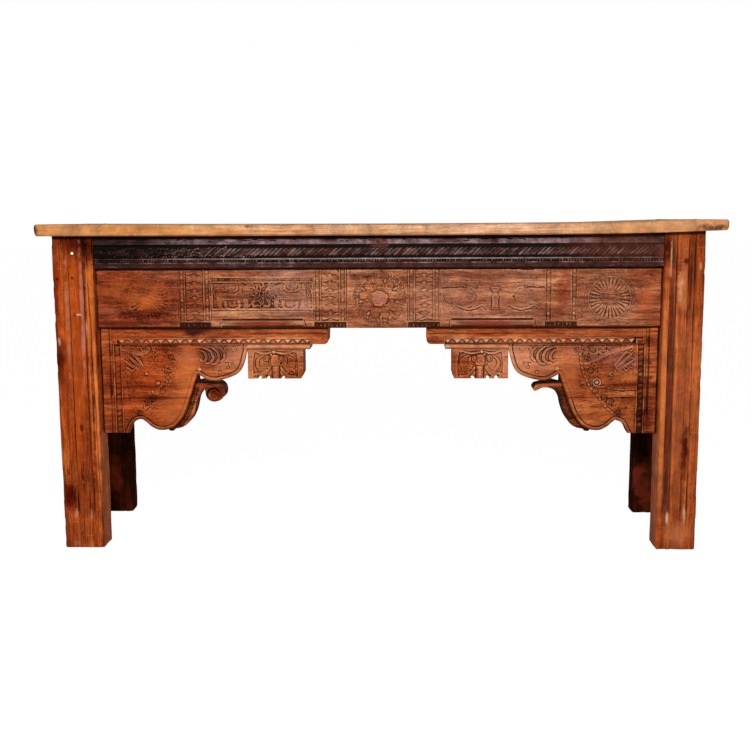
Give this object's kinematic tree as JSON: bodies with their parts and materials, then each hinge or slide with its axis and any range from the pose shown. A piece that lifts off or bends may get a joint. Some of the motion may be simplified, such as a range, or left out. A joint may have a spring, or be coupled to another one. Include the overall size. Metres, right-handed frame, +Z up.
{
  "type": "console table",
  "caption": "Long narrow console or altar table of old timber: plank top on square fluted posts, carved dark top rail, carved frieze and scrolled corbel brackets.",
  "frame": {"origin": "on the floor under the middle of the top's outline", "axes": "+X along the table to the right of the carved front, +Y from the carved front to the plain back, +Z up"},
  "size_m": [1.758, 0.48, 0.8648],
  "materials": {
    "top_wood": "waxed honey-brown old timber, worn edges",
    "leg_wood": "waxed orange-brown old timber with open grain",
    "dark_wood": "blackened carved timber, polished on the high spots",
    "frieze_wood": "waxed reddish brown carved timber",
    "bracket_wood": "waxed orange-brown carved timber",
    "plain_wood": "plain sawn brown timber",
    "peg_wood": "pale end grain",
    "iron": "dark rusted iron",
    "screw_steel": "dull steel"
  },
  "bodies": {
    "root": {"bracket_bead_left": "bracket_wood", "bracket_bead_right": "bracket_wood", "bracket_beam_left": "bracket_wood", "bracket_beam_right": "bracket_wood", "bracket_body_left": "bracket_wood", "bracket_body_right": "bracket_wood", "bracket_dowels": "peg_wood", "bracket_lower_board_left": "bracket_wood", "bracket_lower_board_right": "bracket_wood", "bracket_pendant_left": "bracket_wood", "bracket_pendant_right": "bracket_wood", "bracket_stile_left": "bracket_wood", "bracket_stile_right": "bracket_wood", "bracket_upper_board_left": "bracket_wood", "bracket_upper_board_right": "bracket_wood", "cleat_screws": "screw_steel", "frieze_board": "frieze_wood", "front_leg_left": "leg_wood", "front_leg_right": "leg_wood", "front_top_rail": "dark_wood", "iron_nails": "iron", "leg_pegs": "peg_wood", "rear_leg_left": "leg_wood", "rear_leg_right": "leg_wood", "rear_rail": "plain_wood", "rear_rail_pegs": "peg_wood", "side_rail_left": "plain_wood", "side_rail_pegs": "peg_wood", "side_rail_right": "plain_wood", "top_board_front": "top_wood", "top_board_middle": "top_wood", "top_board_rear": "top_wood", "top_cleat_left": "plain_wood", "top_cleat_middle": "plain_wood", "top_cleat_right": "plain_wood", "top_pegs": "peg_wood"}
  },
  "joints": []
}
